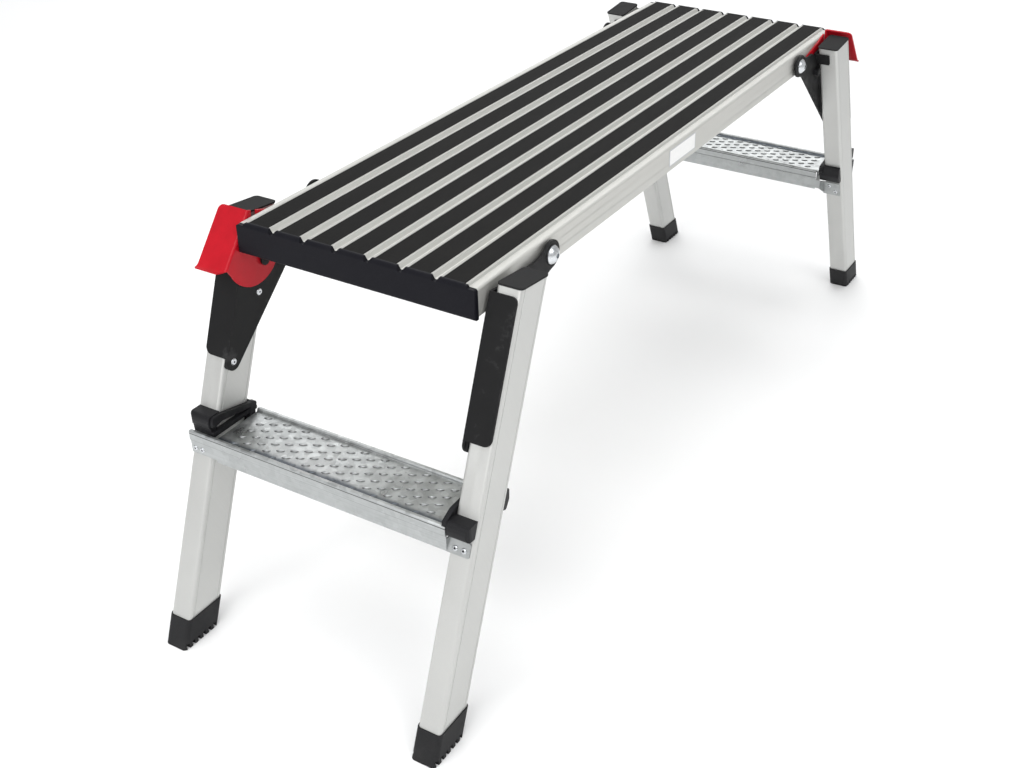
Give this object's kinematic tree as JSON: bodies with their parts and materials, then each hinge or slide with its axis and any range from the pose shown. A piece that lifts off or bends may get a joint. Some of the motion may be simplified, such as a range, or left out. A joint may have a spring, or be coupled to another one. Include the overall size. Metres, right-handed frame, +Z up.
{
  "type": "folding work platform",
  "caption": "Low folding aluminium work platform: a ribbed deck on two hinged leg frames, each with a galvanised step, a red locking latch and rubber feet.",
  "frame": {"origin": "on the floor, under the middle of the deck", "axes": "+X along the deck, +Y across it, +Z up; the latch of the +X frame is on its -Y leg"},
  "size_m": [1.3574, 0.4, 0.5045],
  "materials": {
    "deck_aluminium": "satin extruded",
    "leg_aluminium": "satin extruded",
    "grip_rubber": "fine gritty",
    "cap_plastic": "satin moulded",
    "black_plastic": "satin moulded",
    "black_paint": "satin powder coat",
    "red_paint": "gloss powder coat",
    "shoe_rubber": "matte",
    "galvanised": "galvanised sheet",
    "zinc": "bright zinc plated",
    "spring_steel": "drawn wire, blackened",
    "label": "printed film, blank"
  },
  "bodies": {
    "deck": {"deck_panel": "deck_aluminium", "grip_strip_1": "grip_rubber", "grip_strip_2": "grip_rubber", "grip_strip_3": "grip_rubber", "grip_strip_4": "grip_rubber", "grip_strip_5": "grip_rubber", "grip_strip_6": "grip_rubber", "grip_strip_7": "grip_rubber", "end_cap_left": "cap_plastic", "end_cap_right": "cap_plastic", "label_plate": "label", "hinge_bolts": "zinc", "hinge_nuts": "zinc", "spacer_bushes": "black_plastic", "lock_pins": "black_paint"},
    "left_leg_frame": {"leg_left_front": "leg_aluminium", "leg_left_rear": "leg_aluminium", "leg_cap_left_front": "black_plastic", "leg_cap_left_rear": "black_plastic", "shoe_left_front": "shoe_rubber", "shoe_left_rear": "shoe_rubber", "bracket_left_front": "black_paint", "bracket_left_rear": "black_paint", "bracket_rivets_left": "zinc", "step_left": "galvanised", "step_clip_left_front": "black_plastic", "step_clip_left_rear": "black_plastic", "step_rivets_left": "zinc", "latch_pivot_left": "black_paint", "latch_spring_left": "spring_steel"},
    "right_leg_frame": {"leg_right_front": "leg_aluminium", "leg_right_rear": "leg_aluminium", "leg_cap_right_front": "black_plastic", "leg_cap_right_rear": "black_plastic", "shoe_right_front": "shoe_rubber", "shoe_right_rear": "shoe_rubber", "bracket_right_front": "black_paint", "bracket_right_rear": "black_paint", "bracket_rivets_right": "zinc", "step_right": "galvanised", "step_clip_right_front": "black_plastic", "step_clip_right_rear": "black_plastic", "step_rivets_right": "zinc", "latch_pivot_right": "black_paint", "latch_spring_right": "spring_steel"},
    "left_latch": {"latch_left": "red_paint"},
    "right_latch": {"latch_right": "red_paint"}
  },
  "joints": [
    {"name": "left_leg_fold", "type": "hinge", "parent": "deck", "child": "left_leg_frame", "pos_m": [-0.363, 0, 0.48], "axis": [0, -1, 0], "range_deg": [0, 115]},
    {"name": "right_leg_fold", "type": "hinge", "parent": "deck", "child": "right_leg_frame", "pos_m": [0.363, 0, 0.48], "axis": [0, 1, 0], "range_deg": [0, 103]},
    {"name": "left_latch_turn", "type": "hinge", "parent": "left_leg_frame", "child": "left_latch", "pos_m": [-0.43, 0.17, 0.452], "axis": [0, -1, 0], "range_deg": [0, 18], "stiffness_Nm_per_rad": 0.25, "springref_deg": -34.38},
    {"name": "right_latch_turn", "type": "hinge", "parent": "right_leg_frame", "child": "right_latch", "pos_m": [0.43, -0.17, 0.452], "axis": [0, 1, 0], "range_deg": [0, 18], "stiffness_Nm_per_rad": 0.25, "springref_deg": -34.38}
  ]
}
